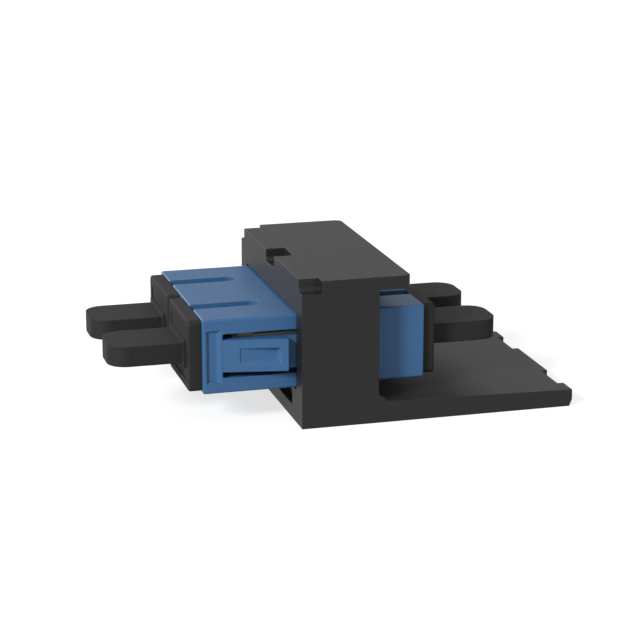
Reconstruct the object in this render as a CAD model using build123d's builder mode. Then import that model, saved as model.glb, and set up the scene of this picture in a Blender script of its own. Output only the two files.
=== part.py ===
from build123d import *
import math
import os

# Duplex SC fibre adapter in a snap-in module frame, in millimetres.
# +X runs along the fibre, from the front of the frame to its base plate, +Y is
# left as seen from the front, and +Z is up. The origin is the middle of the
# footprint, at the underside of the base.

# Module frame
frame_height = 19.0
side_wall = 1.8
side_room = 1.25
roof_thickness = 1.7
front_wall = 3.6
lip_thickness = 1.45
side_length = 10.0
roof_length = 14.25
roof_end_fillet = 0.25
roof_corner = 1.2
base_length = 36.2
base_thickness = 2.8
base_end_thickness = 2.2
base_inset = 3.65
base_inset_start = 13.5
base_inset_fillet = 1.0
base_end_chamfer = 0.9
base_end_chamfer_run = 0.37
window_fillet = 1.4
inner_fillet = 0.8

# Snap notches along the top front edge, and in the end of the base plate
notch_length = 2.6
notch_depth = 1.65
notch_fillet = 0.7
corner_notch_width = 1.65
centre_notch_width = 4.3
end_notch_depth = 0.85
end_notch_width = 5.75
end_notch_spacing = 16.6

# Cored pocket in the front wall, below the adapter
pocket_side_margin = 1.85
pocket_skin = 0.45
pocket_base = 1.8
pocket_depth = 2.3
pocket_fillet = 1.0

# Adapter body, shared by its two shells
port_pitch = 12.7
port_height = 9.4
adapter_side_wall = 2.1
adapter_top_wall = 1.05
adapter_length = 28.8
adapter_fillet = 0.3
adapter_end_fillet = 0.2
opening_clearance = 0.25
ear_reach = 1.0
ear_thickness = 1.9
ear_clearance = 0.1

# Ports: a mouth that guides the plug, and behind it room for the hooks to flex
mouth_width = 9.1
mouth_height = 7.5
mouth_depth = 4.3
mouth_chamfer = 0.25
hook_room_step = 0.65
key_slot_width = 2.2
key_slot_length = 8.65

# Latch tabs, cut free from the side walls of the front shell
tab_root = 2.5
tab_height = 4.15
tab_slot = 0.78
tab_slot_fillet = 0.3
tab_thickness = 1.2
tab_lean = 1.5
tab_catch_gap = 1.3
tab_nose_length = 0.75
tab_nose_thickness = 0.85
tab_nose_clearance = 0.05
tab_end_gap = 0.35
grip_length = 4.6
grip_height = 1.95
grip_setback = 1.45
grip_front_depth = 0.1
grip_rear_depth = 0.65
grip_taper = 35

# Cored pocket in the side wall, ahead of each tab
side_pocket_setback = 0.45
side_pocket_length = 1.85
side_pocket_height = 6.65
side_pocket_depth = 0.3
side_pocket_ramp = 0.55

# Sleeve holders, two halves to a port, each with a nose and two hooks
plate_side_step = 0.3
plate_top_step = 0.2
plate_thickness = 0.9
plate_clearance = 0.05
nose_wall = 0.7
nose_lip = 0.8
nose_mouth_radius = 1.85
nose_lead_in = 25
nose_chamfer = 0.3
hook_end_gap = 0.6
hook_side_gap = 0.05
hook_thickness = 0.7
hook_height = 4.3
hook_arm_step = 0.6
hook_neck = 0.6
hook_head_length = 2.0
hook_head_height = 4.8
hook_head_ramp = 0.25
hook_catch = 0.85
hook_catch_slope = 0.9

# Split alignment sleeves
ferrule_radius = 1.25
sleeve_wall = 0.35
sleeve_length = 11.4
sleeve_slit = 0.5
sleeve_side_clearance = 0.05
sleeve_end_clearance = 0.15

# Dust caps: a plate over the port, a plug in its mouth and a handle
cap_gap = 0.9
cap_top_margin = 0.2
cap_thickness = 1.7
cap_corner = 0.6
cap_edge_fillet = 0.3
cap_rim = 1.2
cap_recess = 0.15
collar_margin = 0.5
collar_height = 0.45
handle_width = 7.6
handle_thickness = 2.6
handle_length = 9.5
handle_corner = 2.5
plug_end_gap = 0.1
plug_clearance = 0.25
plug_wall = 0.8
plug_corner = 0.5
plug_chamfer = 0.4
crush_rib_width = 0.6
crush_rib_gap = 0.05
crush_rib_spacing = 3.0
crush_rib_setback = 0.9

# Places along X, worked out from the sizes
adapter_reach = adapter_length / 2
middle_behind_face = lip_thickness + ear_clearance + ear_thickness / 2
front_reach = adapter_reach + cap_thickness + handle_length - middle_behind_face
frame_face = (front_reach - base_length) / 2
middle = frame_face + middle_behind_face

# The adapter's outside follows from its ports, and the frame's from the adapter
adapter_width = port_pitch + mouth_width + 2 * adapter_side_wall
adapter_height = mouth_height + 2 * adapter_top_wall
half_adapter = adapter_width / 2
half_ear = half_adapter + ear_reach
half_inside = half_adapter + side_room
half_frame = half_inside + side_wall
port_centres = {"left": port_pitch / 2, "right": -port_pitch / 2}
outward = {"front": -1, "rear": 1}


def base_top(offset):
    """Height of the base plate's upper face, so far behind the front of the frame."""
    slope = (base_thickness - base_end_thickness) / (base_length - side_length)
    return base_thickness - slope * (offset - side_length)


def across(x, z):
    """A plane across the fibre axis that faces the rear: local x is Y, local y is Z."""
    return Plane(origin=(x, 0, z), x_dir=(0, 1, 0), z_dir=(1, 0, 0))


def facing(end, distance, y=0):
    """A plane that faces out of one end of the adapter, so far from its middle."""
    way = outward[end]
    origin = (middle + way * distance, y, port_height)
    return Plane(origin=origin, x_dir=(0, way, 0), z_dir=(way, 0, 0))


def plan(x, y, z, way=1):
    """A level plane whose local x runs along the fibre axis, to the rear or the front."""
    return Plane(origin=(x, y, z), x_dir=(way, 0, 0), z_dir=(0, 0, 1))


# Module frame: front wall, side walls, roof and base plate in one moulding
frame_side = Plane(origin=(frame_face, 0, 0), x_dir=(1, 0, 0), z_dir=(0, -1, 0))
frame_front = across(frame_face, 0)
roof_under = frame_height - roof_thickness
opening_width = adapter_width + 2 * opening_clearance
opening_height = adapter_height + 2 * opening_clearance
pocket_width = adapter_width - 2 * pocket_side_margin
pocket_height = port_height - opening_height / 2 - pocket_skin - pocket_base

with BuildPart() as module_frame:
    with BuildSketch(frame_side):
        with BuildLine():
            Polyline(
                (0, 0),
                (0, frame_height),
                (roof_length, frame_height),
                (roof_length, roof_under),
                (side_length, roof_under),
                (side_length, base_top(side_length)),
                (base_length, base_top(base_length)),
                (base_length, base_end_chamfer),
                (base_length - base_end_chamfer_run, 0),
                close=True,
            )
        make_face()
        window_corner = (side_length, base_top(side_length))
        fillet(vertices().sort_by_distance(window_corner)[0], window_fillet)
        roof_end = (roof_length, frame_height)
        fillet(vertices().sort_by_distance(roof_end)[0], roof_end_fillet)
    extrude(amount=half_frame, both=True)

    # The roof's rear corners are rounded
    for side in (-1, 1):
        with BuildSketch(plan(frame_face + roof_length, side * half_frame, roof_under)):
            Rectangle(2 * roof_corner, 2 * roof_corner)
            with Locations((-roof_corner, -side * roof_corner)):
                Circle(roof_corner, mode=Mode.SUBTRACT)
        extrude(amount=roof_thickness, mode=Mode.SUBTRACT)

    # The inside is open to the rear
    with BuildSketch(frame_side):
        with BuildLine():
            Polyline(
                (front_wall, base_top(front_wall)),
                (front_wall, roof_under),
                (base_length, roof_under),
                (base_length, base_top(base_length)),
                close=True,
            )
        make_face()
        fillet(vertices().group_by(Axis.X)[0], inner_fillet)
    extrude(amount=half_inside, both=True, mode=Mode.SUBTRACT)

    # Opening for the adapter, with a lip at the front that its ears bear on
    with BuildSketch(across(frame_face, port_height)):
        Rectangle(opening_width, opening_height)
    extrude(amount=front_wall, mode=Mode.SUBTRACT)
    with BuildSketch(across(frame_face + lip_thickness, port_height)):
        Rectangle(2 * half_inside, opening_height)
    extrude(amount=front_wall - lip_thickness, mode=Mode.SUBTRACT)

    # Snap notches: one at the middle of the top front edge and one at each corner
    with BuildSketch(frame_front):
        with Locations((0, frame_height)):
            Rectangle(centre_notch_width, 2 * notch_depth)
        fillet(vertices().group_by(Axis.Y)[0], notch_fillet)
    extrude(amount=notch_length, mode=Mode.SUBTRACT)
    for side in (-1, 1):
        with BuildSketch(frame_front):
            with Locations((side * half_frame, frame_height)):
                Rectangle(2 * corner_notch_width, 2 * notch_depth)
            fillet(vertices().sort_by_distance((0, 0))[0], notch_fillet)
        extrude(amount=notch_length, mode=Mode.SUBTRACT)

    # Cored pocket below the adapter
    with BuildSketch(frame_front):
        with Locations((0, pocket_base)):
            Rectangle(pocket_width, pocket_height, align=(Align.CENTER, Align.MIN))
        fillet(vertices().group_by(Axis.Y)[-1], pocket_fillet)
    extrude(amount=pocket_depth, mode=Mode.SUBTRACT)

    # The base plate is narrower than the frame on the left, behind the side wall
    with BuildSketch(plan(frame_face + base_inset_start, half_frame, 0)):
        Rectangle(
            2 * (base_length - base_inset_start),
            2 * base_inset,
            align=(Align.MIN, Align.CENTER),
        )
        fillet(vertices().sort_by_distance((0, -base_inset))[0], base_inset_fillet)
    extrude(amount=base_thickness, mode=Mode.SUBTRACT)

    # Two notches in the end of the plate, even about its own middle
    with BuildSketch(plan(frame_face + base_length, -base_inset / 2, 0)):
        with GridLocations(0, end_notch_spacing, 1, 2):
            Rectangle(2 * end_notch_depth, end_notch_width)
    extrude(amount=base_thickness, mode=Mode.SUBTRACT)

module_frame.part.label = "module_frame"


# Adapter shells: two mouldings welded together at the middle of the adapter
hook_room_width = mouth_width + 2 * hook_room_step
plate_width = hook_room_width + 2 * plate_side_step
plate_height = mouth_height + 2 * plate_top_step


def adapter_shell(end):
    """The outer half of the adapter at one end; the front one has the latch tabs."""
    with BuildPart() as shell:
        with BuildSketch(facing(end, 0)):
            Rectangle(adapter_width, adapter_height)
        extrude(amount=adapter_reach)
        fillet(shell.edges().filter_by(Axis.X), adapter_fillet)
        mouth_face = shell.faces().filter_by(Axis.X).sort_by_distance((middle, 0, 0))[-1]
        fillet(mouth_face.edges(), adapter_end_fillet)

        # Ears that bear on the lip of the frame
        with BuildSketch(facing(end, 0)):
            Rectangle(2 * half_ear, adapter_height)
        extrude(amount=ear_thickness / 2)

        # Ports, with a seat for the holder plates at the weld
        with BuildSketch(facing(end, adapter_reach)):
            with GridLocations(port_pitch, 0, 2, 1):
                Rectangle(mouth_width, mouth_height)
        extrude(amount=-mouth_depth, mode=Mode.SUBTRACT)
        with BuildSketch(facing(end, adapter_reach)):
            with GridLocations(port_pitch, 0, 2, 1):
                Rectangle(mouth_width + 2 * mouth_chamfer, mouth_height + 2 * mouth_chamfer)
        extrude(amount=-mouth_chamfer, taper=45, mode=Mode.SUBTRACT)
        with BuildSketch(facing(end, 0)):
            with GridLocations(port_pitch, 0, 2, 1):
                Rectangle(hook_room_width, mouth_height)
        extrude(amount=adapter_reach - mouth_depth, mode=Mode.SUBTRACT)
        with BuildSketch(facing(end, 0)):
            with GridLocations(port_pitch, 0, 2, 1):
                Rectangle(
                    plate_width + 2 * plate_clearance,
                    plate_height + 2 * plate_clearance,
                )
        extrude(amount=plate_thickness + plate_clearance, mode=Mode.SUBTRACT)

        # Key slots in the top wall, open at the mouth
        mouth_x = middle + outward[end] * adapter_reach
        with BuildSketch(plan(mouth_x, 0, port_height)):
            with GridLocations(0, port_pitch, 1, 2):
                SlotOverall(2 * key_slot_length, key_slot_width)
        extrude(amount=adapter_height / 2, mode=Mode.SUBTRACT)

        if end == "front":
            for side in (-1, 1):
                latch_tab(side)
    return shell


def latch_tab(side):
    """Cut one latch tab free from the side wall of the shell that is being built."""
    mouth = middle - adapter_reach - frame_face
    root = mouth + tab_root
    catch = -tab_catch_gap
    wall = half_adapter - port_pitch / 2 - mouth_width / 2
    nose_outside = half_adapter + opening_clearance - tab_nose_clearance
    nose_inside = nose_outside - tab_nose_thickness
    lean = math.atan2(tab_lean, catch - root)

    # Window through the wall
    wall_plane = Plane(
        origin=(frame_face, side * half_adapter, port_height),
        x_dir=(side, 0, 0),
        z_dir=(0, -side, 0),
    )
    with BuildSketch(wall_plane) as window:
        with Locations((side * root, 0)):
            Rectangle(
                tab_nose_length + tab_end_gap - root,
                tab_height + 2 * tab_slot,
                align=(Align.MIN if side > 0 else Align.MAX, Align.CENTER),
            )
        root_corners = vertices().sort_by_distance((side * root, 0))[:2]
        fillet(root_corners, tab_slot_fillet)
    extrude(window.sketch, amount=wall, mode=Mode.SUBTRACT)

    # The tab leans out to its catch and goes on as a thin nose inside the frame
    with BuildSketch(plan(frame_face, 0, port_height)) as tab:
        with BuildLine():
            Polyline(
                (root, side * half_adapter),
                (catch, side * (half_adapter + tab_lean)),
                (catch, side * nose_outside),
                (tab_nose_length, side * nose_outside),
                (tab_nose_length, side * nose_inside),
                (catch, side * nose_inside),
                (root, side * (half_adapter - tab_thickness)),
                close=True,
            )
        make_face()
    extrude(tab.sketch, amount=tab_height / 2, both=True)

    # Finger grip in its face: the floor sinks towards the catch and the walls flare out
    from_catch = grip_setback + grip_length / 2
    depth = (grip_front_depth + grip_rear_depth) / 2
    floor_lean = lean - math.atan2(grip_rear_depth - grip_front_depth, grip_length)
    along = catch - from_catch * math.cos(lean) + depth * math.sin(lean)
    out = half_adapter + tab_lean - from_catch * math.sin(lean) - depth * math.cos(lean)
    grip_floor = Plane(
        origin=(frame_face + along, side * out, port_height),
        x_dir=(math.cos(floor_lean), side * math.sin(floor_lean), 0),
        z_dir=(-math.sin(floor_lean), side * math.cos(floor_lean), 0),
    )
    flare = 2 * math.tan(math.radians(grip_taper))
    with BuildSketch(grip_floor) as grip:
        with BuildLine():
            Polyline(
                (-grip_length / 2, (grip_height - flare * grip_front_depth) / 2),
                (grip_length / 2, (grip_height - flare * grip_rear_depth) / 2),
                (grip_length / 2, (flare * grip_rear_depth - grip_height) / 2),
                (-grip_length / 2, (flare * grip_front_depth - grip_height) / 2),
                close=True,
            )
        make_face()
    extrude(grip.sketch, amount=2 * grip_rear_depth, taper=-grip_taper, mode=Mode.SUBTRACT)

    # Cored pocket ahead of the tab, with a ramp at its rear
    pocket_start = mouth + side_pocket_setback
    pocket_end = pocket_start + side_pocket_length
    pocket_floor = half_adapter - side_pocket_depth
    with BuildSketch(plan(frame_face, 0, port_height)) as side_pocket:
        with BuildLine():
            Polyline(
                (pocket_start, side * half_adapter),
                (pocket_start, side * pocket_floor),
                (pocket_end - side_pocket_ramp, side * pocket_floor),
                (pocket_end, side * half_adapter),
                close=True,
            )
        make_face()
    extrude(side_pocket.sketch, amount=side_pocket_height / 2, both=True, mode=Mode.SUBTRACT)


adapter_front_shell = adapter_shell("front")
adapter_front_shell.part.label = "adapter_front_shell"

adapter_rear_shell = adapter_shell("rear")
adapter_rear_shell.part.label = "adapter_rear_shell"


# Sleeve holders: a plate clamped between the shells, a nose and two hooks
sleeve_outside = ferrule_radius + sleeve_wall
nose_bore = sleeve_outside + sleeve_side_clearance
nose_outside = nose_bore + nose_wall
nose_length = sleeve_length / 2 + sleeve_end_clearance + nose_lip
hook_outside = mouth_width / 2 - hook_side_gap
hook_inside = hook_outside - hook_thickness
arm_outside = hook_outside + hook_arm_step
arm_inside = arm_outside - hook_thickness
catch_inside = hook_inside - hook_catch
hook_reach = adapter_reach - mouth_depth - hook_end_gap
head_start = hook_reach - hook_head_length


def sleeve_holder(end, y):
    """One half of a holder, which latches the plug and traps half of the sleeve."""
    with BuildPart() as holder:
        with BuildSketch(facing(end, 0, y)):
            Rectangle(plate_width, plate_height)
        extrude(amount=plate_thickness)
        with BuildSketch(facing(end, 0, y)):
            Circle(nose_outside)
        extrude(amount=nose_length)
        chamfer(holder.edges().sort_by_distance((middle, y, port_height))[-1], nose_chamfer)

        # Hooks on both sides of the nose: the arms lie along the walls of the room that the
        # shell leaves for them, and their heads stand clear of it to flex outwards
        hook_plane = plan(middle, y, port_height, outward[end])
        for side in (-1, 1):
            with BuildSketch(hook_plane):
                with BuildLine():
                    Polyline(
                        (0, side * arm_outside),
                        (head_start, side * arm_outside),
                        (head_start, side * hook_inside),
                        (head_start - hook_neck, side * arm_inside),
                        (0, side * arm_inside),
                        close=True,
                    )
                make_face()
            extrude(amount=hook_height / 2, both=True)
            with BuildSketch(hook_plane):
                with BuildLine():
                    Polyline(
                        (head_start, side * hook_outside),
                        (hook_reach, side * hook_outside),
                        (hook_reach, side * hook_inside),
                        (hook_reach - hook_catch_slope, side * catch_inside),
                        (head_start + hook_head_ramp, side * catch_inside),
                        (head_start, side * hook_inside),
                        close=True,
                    )
                make_face()
            extrude(amount=hook_head_height / 2, both=True)

        # Bore for the sleeve, and a lip at the tip that traps it and leads the ferrule in
        with BuildSketch(facing(end, 0, y)):
            Circle(nose_bore)
        extrude(amount=nose_length - nose_lip, mode=Mode.SUBTRACT)
        with BuildSketch(facing(end, nose_length, y)):
            Circle(nose_mouth_radius)
        extrude(amount=-nose_lip, taper=nose_lead_in, mode=Mode.SUBTRACT)
    return holder


# Split sleeves: a tube with a slit along its top, half in each holder
def alignment_sleeve(y):
    """The split tube that lines up the two ferrules of one port."""
    with BuildPart() as sleeve:
        with BuildSketch(facing("rear", -sleeve_length / 2, y)):
            Circle(sleeve_outside)
            Circle(ferrule_radius, mode=Mode.SUBTRACT)
            Rectangle(
                sleeve_slit,
                sleeve_outside,
                align=(Align.CENTER, Align.MIN),
                mode=Mode.SUBTRACT,
            )
        extrude(amount=sleeve_length)
    return sleeve


# Dust caps: they pull straight out of the ports
cap_width = port_pitch - cap_gap
cap_height = adapter_height - 2 * cap_top_margin
plug_length = mouth_depth - plug_end_gap
plug_width = mouth_width - 2 * plug_clearance
plug_height = mouth_height - 2 * plug_clearance
rib_height = plug_clearance - crush_rib_gap


def dust_cap(end, y):
    """One moulded cap, seated with its plate against the end of the adapter."""
    with BuildPart() as cap:
        with BuildSketch(facing(end, adapter_reach, y)):
            RectangleRounded(cap_width, cap_height, cap_corner)
        extrude(amount=cap_thickness)
        far_face = cap.faces().filter_by(Axis.X).sort_by_distance((middle, y, port_height))[-1]
        fillet(far_face.edges(), cap_edge_fillet)

        # Sunk face inside a rim, and a collar round the root of the handle
        with BuildSketch(facing(end, adapter_reach + cap_thickness, y)):
            Rectangle(cap_width - 2 * cap_rim, cap_height - 2 * cap_rim)
        extrude(amount=-cap_recess, mode=Mode.SUBTRACT)
        with BuildSketch(facing(end, adapter_reach + cap_thickness - cap_recess, y)):
            Rectangle(
                handle_width + 2 * collar_margin,
                handle_thickness + 2 * collar_margin,
            )
        extrude(amount=collar_height)

        # Flat handle with rounded corners
        plate_out = adapter_reach + cap_thickness - cap_recess
        handle_end = adapter_reach + cap_thickness + handle_length
        with BuildSketch(plan(middle, y, port_height, outward[end])):
            with Locations((handle_end, 0)):
                Rectangle(
                    handle_end - plate_out,
                    handle_width,
                    align=(Align.MAX, Align.CENTER),
                )
            fillet(vertices().group_by(Axis.X)[-1], handle_corner)
        extrude(amount=handle_thickness / 2, both=True)

        # Hollow plug with crush ribs on its sides
        with BuildSketch(facing(end, adapter_reach, y)):
            RectangleRounded(plug_width, plug_height, plug_corner)
        extrude(amount=-plug_length)
        plug_end = cap.faces().filter_by(Axis.X).sort_by_distance((middle, y, port_height))[0]
        chamfer(plug_end.edges(), plug_chamfer)
        with BuildSketch(facing(end, adapter_reach - plug_length, y)):
            Rectangle(plug_width - 2 * plug_wall, plug_height - 2 * plug_wall)
        extrude(amount=plug_length, mode=Mode.SUBTRACT)
        with BuildSketch(facing(end, adapter_reach, y)):
            with GridLocations(plug_width, crush_rib_spacing, 2, 2):
                Rectangle(2 * rib_height, crush_rib_width)
        extrude(amount=crush_rib_setback - plug_length)
    return cap


os.makedirs("parts", exist_ok=True)
export_step(module_frame.part, "parts/module_frame.step")
export_step(adapter_front_shell.part, "parts/adapter_front_shell.step")
export_step(adapter_rear_shell.part, "parts/adapter_rear_shell.step")

for side, y in port_centres.items():
    sleeve = alignment_sleeve(y)
    sleeve.part.label = f"alignment_sleeve_{side}"
    export_step(sleeve.part, f"parts/alignment_sleeve_{side}.step")
    for end in outward:
        holder = sleeve_holder(end, y)
        holder.part.label = f"sleeve_holder_{end}_{side}"
        export_step(holder.part, f"parts/sleeve_holder_{end}_{side}.step")
        cap = dust_cap(end, y)
        cap.part.label = f"dust_cap_{end}_{side}"
        export_step(cap.part, f"parts/dust_cap_{end}_{side}.step")
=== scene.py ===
import math

import bmesh
import bpy
from mathutils import Matrix, Vector

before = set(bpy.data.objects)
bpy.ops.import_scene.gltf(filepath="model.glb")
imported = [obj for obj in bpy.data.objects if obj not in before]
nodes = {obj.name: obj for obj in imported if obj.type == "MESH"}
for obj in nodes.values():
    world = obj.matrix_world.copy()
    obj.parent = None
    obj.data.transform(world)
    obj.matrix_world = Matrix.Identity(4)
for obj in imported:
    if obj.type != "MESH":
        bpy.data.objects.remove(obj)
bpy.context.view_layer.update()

MM = 0.001

# Camera: the photograph's viewpoint, fitted to the part's edges in it
CAMERA_YAW = 0.27124
CAMERA_PITCH = 0.27255
CAMERA_ROLL = 0.00031
CAMERA_DISTANCE = 272.182 * MM
CAMERA_TARGET = Vector((0.2013, 0.0, 9.4101)) * MM
FOCAL_PIXELS = 2060.5
PHOTO_PIXELS = 640
SENSOR_WIDTH = 36.0
CLIP_START = 0.01
CLIP_END = 10.0

# A noise texture's values lie mostly between these two
NOISE_LOW = 0.3
NOISE_HIGH = 0.7

# What all the plastics share. Flow marks in such small mouldings are some millimetres long.
PLASTIC_IOR = 1.5
FLOW_WIDTH = 5.0
FLOW_STRETCH = 2.5
FLOW_DETAIL = 4.0
FLOW_ROUGHNESS = 0.6
GRAIN_GLOSS = 0.05
GRAIN_DETAIL = 3.0
GRAIN_ROUGHNESS = 0.65

# Edges painted paler, partly as handling wear and partly as a painted highlight: where the rounded
# surface turns away from the flat one, given as the cosine of that angle, the plastic is paler
PALE_EDGE_START = 0.97
PALE_EDGE_FULL = 0.75
EDGE_WEAR_AND_HIGHLIGHT = 0.5
EDGE_GAIN = 1.5
EDGE_LIFT = 0.015
EDGE_SAMPLES = 4

# Zirconia: grinding rings of 0.02 mm, drawn ten times as wide so that they show. A wave
# texture repeats every 0.314 of its scale's unit.
ZIRCONIA_IOR = 2.15
RING_SCALE = 0.314 / (0.2 * MM)
RING_WANDER = 1.5
RING_DETAIL = 2.0
RING_DETAIL_SCALE = 3.0
RING_DEPTH = 0.0008
RING_SHADE = 0.95
RING_POLISHED = 0.12
RING_DULL = 0.26

# Colours of the plastics and the ceramic
FRAME_BLACK = "#212121"
CAP_BLACK = "#1d1d1c"
ADAPTER_BLUE = "#3a6795"
HOLDER_IVORY = "#d6d5bd"
SLEEVE_WHITE = "#f0eee6"

# Light: a small soft box to the front right of the part, and a large weak one far to its left
LAMP_DISTANCE = 2.0
KEY_AZIMUTH = 36.0
KEY_HEIGHT = 30.0
KEY_SIZE = 0.38
KEY_POWER = 32.0
FILL_AZIMUTH = -68.0
FILL_HEIGHT = 16.0
FILL_SIZE = 1.2
FILL_POWER = 7.5
SKY_LIGHT = 0.44
MIRRORED_LIGHT = 0.52

# Floor: a pale board, a hair below the part so that the two faces don't coincide. Beyond half
# of its fade it turns into the white behind it, and at the whole of it the board is gone.
FLOOR_GREY = "#b8b8b8"
FLOOR_GLOW = 0.7
FLOOR_REACH = 3.0
FLOOR_DROP = 0.02 * MM
FLOOR_FADE = 0.8
FADE_FROM = 0.5
WHITE = (1.0, 1.0, 1.0, 1.0)


def linear(colour):
    """An sRGB hex colour as linear RGBA."""
    channels = [int(colour[i:i + 2], 16) / 255 for i in (1, 3, 5)]
    return [c / 12.92 if c <= 0.04045 else ((c + 0.055) / 1.055) ** 2.4 for c in channels] + [1.0]


def scaled(colour, factor, lift=0.0):
    """A linear RGBA colour made paler or darker, with its alpha kept."""
    return [min(1.0, c * factor + lift) for c in colour[:3]] + [1.0]


def add(tree, kind, values=None, links=None, **settings):
    """One shader node with its settings, the values of its sockets and what is linked into it."""
    node = tree.nodes.new(kind)
    for name, value in settings.items():
        setattr(node, name, value)
    for socket, value in (values or {}).items():
        node.inputs[socket].default_value = value
    for socket, output in (links or {}).items():
        tree.links.new(output, node.inputs[socket])
    return node


def new_material(name):
    """An empty node material and its tree."""
    material = bpy.data.materials.new(name)
    material.use_nodes = True
    material.node_tree.nodes.clear()
    return material, material.node_tree


def moulded_plastic(name, colour, roughness, grain_mm, grain_depth_mm, drift, edge_mm):
    """A moulded plastic: spark-eroded grain, a slow drift of its colour, and edges painted paler,
    partly as handling wear and partly as a painted highlight.
    """
    material, tree = new_material(name)
    place = add(tree, "ShaderNodeTexCoord").outputs["Object"]
    base = linear(colour)

    # The resin mixes unevenly over some millimetres, drawn out along the way the mould fills
    along = add(tree, "ShaderNodeMapping", {"Scale": (1 / FLOW_STRETCH, 1, 1)}, {"Vector": place})
    clouds = add(
        tree,
        "ShaderNodeTexNoise",
        {"Scale": 1 / (FLOW_WIDTH * MM), "Detail": FLOW_DETAIL, "Roughness": FLOW_ROUGHNESS},
        {"Vector": along.outputs["Vector"]},
    )
    mixed = add(tree, "ShaderNodeValToRGB", links={"Fac": clouds.outputs["Fac"]})
    dark, pale = mixed.color_ramp.elements
    dark.position, pale.position = NOISE_LOW, NOISE_HIGH
    dark.color = scaled(base, 1 - drift)
    pale.color = scaled(base, 1 + drift)

    # The grain of the mould is in the height and in the gloss
    grain = add(
        tree,
        "ShaderNodeTexNoise",
        {"Scale": 1 / (grain_mm * MM), "Detail": GRAIN_DETAIL, "Roughness": GRAIN_ROUGHNESS},
        {"Vector": place},
    )
    matt = add(
        tree,
        "ShaderNodeMapRange",
        {
            "From Min": NOISE_LOW,
            "From Max": NOISE_HIGH,
            "To Min": roughness - GRAIN_GLOSS,
            "To Max": roughness + GRAIN_GLOSS,
        },
        {"Value": grain.outputs["Fac"]},
    )

    # Its sharp edges come out of the mould with a small radius. Their colour is painted paler,
    # partly as handling wear and partly as a painted highlight
    rounded = add(tree, "ShaderNodeBevel", {"Radius": edge_mm * MM}, samples=EDGE_SAMPLES)
    flat = add(tree, "ShaderNodeNewGeometry")
    turned = add(
        tree,
        "ShaderNodeVectorMath",
        links={0: rounded.outputs["Normal"], 1: flat.outputs["Normal"]},
        operation="DOT_PRODUCT",
    )
    edge = add(
        tree,
        "ShaderNodeMapRange",
        {"From Min": PALE_EDGE_START, "From Max": PALE_EDGE_FULL, "To Min": 0.0, "To Max": EDGE_WEAR_AND_HIGHLIGHT},
        {"Value": turned.outputs["Value"]},
    )
    # Painted highlight and wear: the colour along the edges is lifted paler here
    shade = add(
        tree,
        "ShaderNodeMixRGB",
        {"Color2": scaled(base, EDGE_GAIN, EDGE_LIFT)},
        {"Fac": edge.outputs["Result"], "Color1": mixed.outputs["Color"]},
    )
    bump = add(
        tree,
        "ShaderNodeBump",
        {"Strength": 1.0, "Distance": grain_depth_mm * MM},
        {"Height": grain.outputs["Fac"], "Normal": rounded.outputs["Normal"]},
    )
    surface = add(
        tree,
        "ShaderNodeBsdfPrincipled",
        {"IOR": PLASTIC_IOR},
        {
            "Base Color": shade.outputs["Color"],
            "Roughness": matt.outputs["Result"],
            "Normal": bump.outputs["Normal"],
        },
    )
    add(tree, "ShaderNodeOutputMaterial", links={"Surface": surface.outputs["BSDF"]})
    return material


def ground_ceramic(name, colour):
    """Ground and polished zirconia: hard gloss, with the fine rings of the grinding wheel."""
    material, tree = new_material(name)
    place = add(tree, "ShaderNodeTexCoord").outputs["Object"]
    base = linear(colour)
    rings = add(
        tree,
        "ShaderNodeTexWave",
        {
            "Scale": RING_SCALE,
            "Distortion": RING_WANDER,
            "Detail": RING_DETAIL,
            "Detail Scale": RING_DETAIL_SCALE,
        },
        {"Vector": place},
        wave_type="BANDS",
        bands_direction="X",
    )
    gloss = add(
        tree,
        "ShaderNodeMapRange",
        {"To Min": RING_POLISHED, "To Max": RING_DULL},
        {"Value": rings.outputs["Fac"]},
    )
    shade = add(tree, "ShaderNodeValToRGB", links={"Fac": rings.outputs["Fac"]})
    dull, bright = shade.color_ramp.elements
    dull.color = scaled(base, RING_SHADE)
    bright.color = base
    bump = add(
        tree,
        "ShaderNodeBump",
        {"Strength": 1.0, "Distance": RING_DEPTH * MM},
        {"Height": rings.outputs["Fac"]},
    )
    surface = add(
        tree,
        "ShaderNodeBsdfPrincipled",
        {"IOR": ZIRCONIA_IOR},
        {
            "Base Color": shade.outputs["Color"],
            "Roughness": gloss.outputs["Result"],
            "Normal": bump.outputs["Normal"],
        },
    )
    add(tree, "ShaderNodeOutputMaterial", links={"Surface": surface.outputs["BSDF"]})
    return material


def finish_node(name, material):
    """Give one CAD node its finish."""
    slots = nodes[name].data.materials
    slots.clear()
    slots.append(material)


# Finishes

# Frame: black ABS, moulded in a lightly spark-eroded tool. It is an even, fine satin that turns
# greyer at low angles. The grain is about 0.05 mm, drawn at 0.3 mm so that it shows.
frame_plastic = moulded_plastic(
    "frame_abs_black",
    FRAME_BLACK,
    roughness=0.45,
    grain_mm=0.3,
    grain_depth_mm=0.002,
    drift=0.06,
    edge_mm=0.16,
)

# Dust caps: soft black polyethylene. Waxy and more matt than the frame, with rounder edges. The
# grain is about 0.1 mm, drawn at 0.4 mm so that it shows.
cap_plastic = moulded_plastic(
    "cap_polyethylene_black",
    CAP_BLACK,
    roughness=0.76,
    grain_mm=0.4,
    grain_depth_mm=0.005,
    drift=0.08,
    edge_mm=0.2,
)

# Adapter shells: blue PBT from a polished tool. A smooth, closed surface with a clear sheen and
# sharp edges, whose paleness is partly a painted highlight. What grain it has, about 0.03 mm, is
# drawn at 0.25 mm and very shallow.
adapter_plastic = moulded_plastic(
    "adapter_pbt_blue",
    ADAPTER_BLUE,
    roughness=0.42,
    grain_mm=0.25,
    grain_depth_mm=0.0015,
    drift=0.03,
    edge_mm=0.12,
)

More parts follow.
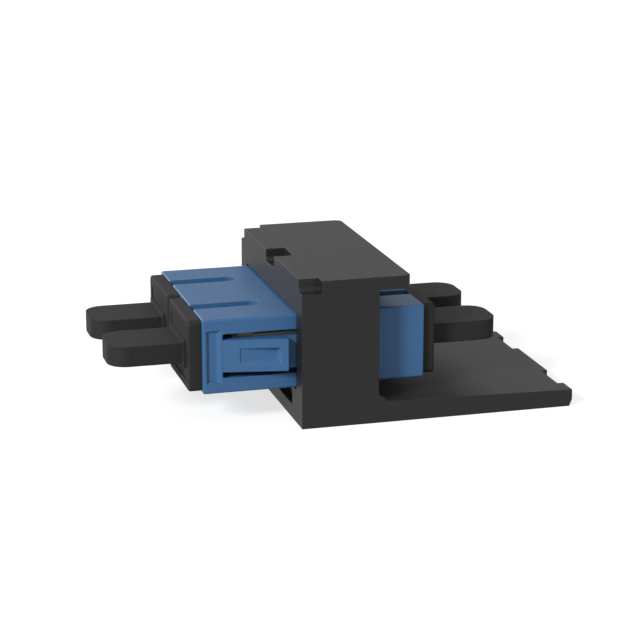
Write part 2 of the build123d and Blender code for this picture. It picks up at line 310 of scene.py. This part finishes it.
# Sleeve holders: unpigmented PBT, ivory, with more visible flow clouds because nothing hides
# them. The grain is as fine as the shells' and drawn as coarse.
holder_plastic = moulded_plastic(
    "holder_pbt_natural",
    HOLDER_IVORY,
    roughness=0.4,
    grain_mm=0.25,
    grain_depth_mm=0.002,
    drift=0.07,
    edge_mm=0.06,
)

# Split sleeves: white zirconia, ground round and polished, by far the glossiest surface here
sleeve_ceramic = ground_ceramic("sleeve_zirconia", SLEEVE_WHITE)

for name in nodes:
    if name.startswith("dust_cap"):
        finish_node(name, cap_plastic)
    elif name.startswith("adapter"):
        finish_node(name, adapter_plastic)
    elif name.startswith("sleeve_holder"):
        finish_node(name, holder_plastic)
    elif name.startswith("alignment_sleeve"):
        finish_node(name, sleeve_ceramic)
    else:
        finish_node(name, frame_plastic)


def build_camera():
    """The photograph's camera, which looks at the middle of the part from its front right."""
    forward = Vector(
        (
            math.sin(CAMERA_YAW) * math.cos(CAMERA_PITCH),
            math.cos(CAMERA_YAW) * math.cos(CAMERA_PITCH),
            -math.sin(CAMERA_PITCH),
        )
    )
    level_right = Vector((math.cos(CAMERA_YAW), -math.sin(CAMERA_YAW), 0.0))
    level_up = level_right.cross(forward)
    right = math.cos(CAMERA_ROLL) * level_right + math.sin(CAMERA_ROLL) * level_up
    up = -math.sin(CAMERA_ROLL) * level_right + math.cos(CAMERA_ROLL) * level_up
    data = bpy.data.cameras.new("photo_camera")
    data.sensor_width = SENSOR_WIDTH
    data.lens = FOCAL_PIXELS / PHOTO_PIXELS * SENSOR_WIDTH
    data.clip_start = CLIP_START
    data.clip_end = CLIP_END
    camera = bpy.data.objects.new("photo_camera", data)
    place = CAMERA_TARGET - forward * CAMERA_DISTANCE
    axes = Matrix((right, up, -forward)).transposed().to_4x4()
    camera.matrix_world = Matrix.Translation(place) @ axes
    bpy.context.scene.collection.objects.link(camera)
    bpy.context.scene.camera = camera


def area_lamp(name, azimuth, height, size, power):
    """A square soft box that faces the part, from so far round to the right of its front."""
    data = bpy.data.lights.new(name, "AREA")
    data.shape = "SQUARE"
    data.size = size
    data.energy = power
    lamp = bpy.data.objects.new(name, data)
    level = math.cos(math.radians(height))
    away = Vector(
        (
            -level * math.cos(math.radians(azimuth)),
            -level * math.sin(math.radians(azimuth)),
            math.sin(math.radians(height)),
        )
    )
    lamp.location = away * LAMP_DISTANCE
    lamp.rotation_euler = away.to_track_quat("Z", "Y").to_euler()
    bpy.context.scene.collection.objects.link(lamp)


def by_ray(tree, kind, others, chosen):
    """One shader for rays of the named kind and another for all the others."""
    ray = add(tree, "ShaderNodeLightPath").outputs[kind]
    return add(tree, "ShaderNodeMixShader", links={0: ray, 1: others, 2: chosen}).outputs[0]


def build_world():
    """White for the camera, a pale room for what the gloss mirrors, and a softer one for light."""
    world = bpy.data.worlds.new("studio")
    bpy.context.scene.world = world
    world.use_nodes = True
    tree = world.node_tree
    tree.nodes.clear()
    white, room, soft = (
        add(tree, "ShaderNodeBackground", {"Color": WHITE, "Strength": strength}).outputs[0]
        for strength in (1.0, MIRRORED_LIGHT, SKY_LIGHT)
    )
    lit = by_ray(tree, "Is Glossy Ray", soft, room)
    shown = by_ray(tree, "Is Camera Ray", lit, white)
    add(tree, "ShaderNodeOutputWorld", links={"Surface": shown})


def build_floor():
    """A pale floor that the camera sees white, with the part's soft shadow on it."""
    mesh = bmesh.new()
    bmesh.ops.create_grid(mesh, x_segments=1, y_segments=1, size=FLOOR_REACH)
    data = bpy.data.meshes.new("floor")
    mesh.to_mesh(data)
    mesh.free()
    floor = bpy.data.objects.new("floor", data)
    floor.location.z = -FLOOR_DROP
    bpy.context.scene.collection.objects.link(floor)
    material, tree = new_material("floor_painted_board")
    paint = add(tree, "ShaderNodeBsdfDiffuse", {"Color": linear(FLOOR_GREY)}).outputs[0]
    white, glow, room = (
        add(tree, "ShaderNodeEmission", {"Color": WHITE, "Strength": strength}).outputs[0]
        for strength in (1.0, FLOOR_GLOW, MIRRORED_LIGHT)
    )
    board = add(tree, "ShaderNodeAddShader", links={0: paint, 1: glow}).outputs[0]
    place = add(tree, "ShaderNodeTexCoord").outputs["Object"]
    shrunk = add(tree, "ShaderNodeMapping", {"Scale": [1 / FLOOR_FADE] * 3}, {"Vector": place})
    near = add(
        tree,
        "ShaderNodeTexGradient",
        links={"Vector": shrunk.outputs["Vector"]},
        gradient_type="SPHERICAL",
    )
    share = add(tree, "ShaderNodeMapRange", {"From Max": FADE_FROM}, {"Value": near.outputs["Fac"]})
    seen = add(
        tree,
        "ShaderNodeMixShader",
        links={0: share.outputs["Result"], 1: white, 2: board},
    ).outputs[0]
    lit = by_ray(tree, "Is Glossy Ray", paint, room)
    shown = by_ray(tree, "Is Camera Ray", lit, seen)
    add(tree, "ShaderNodeOutputMaterial", links={"Surface": shown})
    data.materials.append(material)


build_camera()
build_world()
build_floor()
area_lamp("key", KEY_AZIMUTH, KEY_HEIGHT, KEY_SIZE, KEY_POWER)
area_lamp("fill", FILL_AZIMUTH, FILL_HEIGHT, FILL_SIZE, FILL_POWER)

bpy.context.scene.view_settings.view_transform = "Standard"
